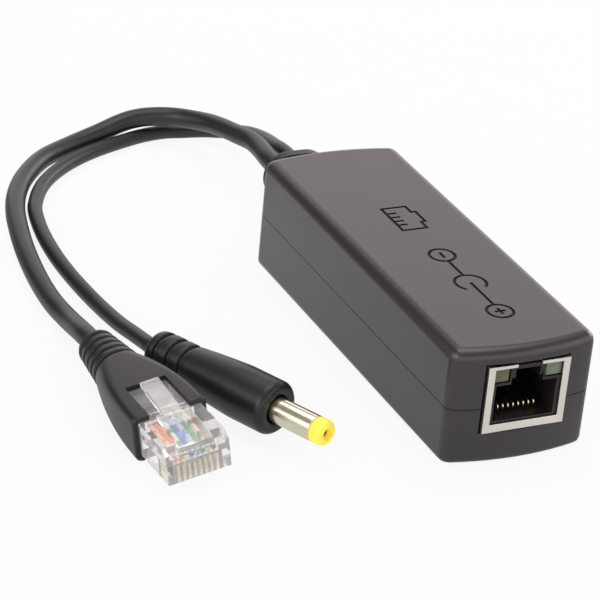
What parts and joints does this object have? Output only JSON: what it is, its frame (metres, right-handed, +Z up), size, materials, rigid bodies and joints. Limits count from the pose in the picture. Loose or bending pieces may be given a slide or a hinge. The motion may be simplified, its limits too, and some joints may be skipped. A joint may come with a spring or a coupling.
{
  "type": "poe splitter",
  "caption": "Inline power over Ethernet splitter: slim dark grey box with a shielded RJ45 jack at one end and short cords to an RJ45 plug and a barrel power plug.",
  "frame": {"origin": "middle of the housing's underside, on the surface that it lies on", "axes": "+Z up, -Y out of the jack, +Y towards the cords' end, +X to the right seen from the jack's end"},
  "size_m": [0.08, 0.1437, 0.0222],
  "materials": {
    "housing": "fine matte texture",
    "boot": "satin moulded",
    "cord": "satin jacket",
    "shield": "tinned sheet",
    "jack_plastic": "matte",
    "gold": "gold plated",
    "led_left": "diffusing lens",
    "led_right": "diffusing lens",
    "board": "solder mask",
    "package": "moulded",
    "ferrite": "sintered",
    "can": "sleeved",
    "clear": "clear moulded plastic",
    "barrel": "nickel plated",
    "tip": "moulded",
    "brass": "bright",
    "lead_red": "insulation",
    "lead_black": "insulation",
    "wire_1": "insulation",
    "wire_2": "insulation",
    "wire_3": "insulation",
    "wire_4": "insulation",
    "wire_5": "insulation",
    "wire_6": "insulation",
    "wire_7": "insulation",
    "wire_8": "insulation"
  },
  "bodies": {
    "root": {"top_cover": "housing", "bottom_cover": "housing", "cable_grommet": "boot", "jack_shield": "shield", "jack_body": "jack_plastic", "jack_led_left": "led_left", "jack_led_right": "led_right", "circuit_board": "board", "lan_transformer": "package", "power_transformer": "ferrite", "bridge_rectifier_1": "package", "bridge_rectifier_2": "package", "controller_chip": "package", "input_capacitor": "can", "output_capacitor": "can", "output_inductor": "ferrite", "ethernet_cord": "cord", "power_cord": "cord", "plug_boot": "boot", "plug_housing": "clear", "power_plug_body": "boot", "power_plug_barrel": "barrel", "power_plug_tip": "tip", "power_plug_contact": "brass", "power_lead_1": "lead_red", "power_lead_2": "lead_black", "jack_contact_1": "gold", "plug_contact_1": "gold", "plug_wire_1": "wire_1", "data_lead_1": "wire_1", "jack_contact_2": "gold", "plug_contact_2": "gold", "plug_wire_2": "wire_2", "data_lead_2": "wire_2", "jack_contact_3": "gold", "plug_contact_3": "gold", "plug_wire_3": "wire_3", "data_lead_3": "wire_3", "jack_contact_4": "gold", "plug_contact_4": "gold", "plug_wire_4": "wire_4", "data_lead_4": "wire_4", "jack_contact_5": "gold", "plug_contact_5": "gold", "plug_wire_5": "wire_5", "data_lead_5": "wire_5", "jack_contact_6": "gold", "plug_contact_6": "gold", "plug_wire_6": "wire_6", "data_lead_6": "wire_6", "jack_contact_7": "gold", "plug_contact_7": "gold", "plug_wire_7": "wire_7", "data_lead_7": "wire_7", "jack_contact_8": "gold", "plug_contact_8": "gold", "plug_wire_8": "wire_8", "data_lead_8": "wire_8"}
  },
  "joints": []
}
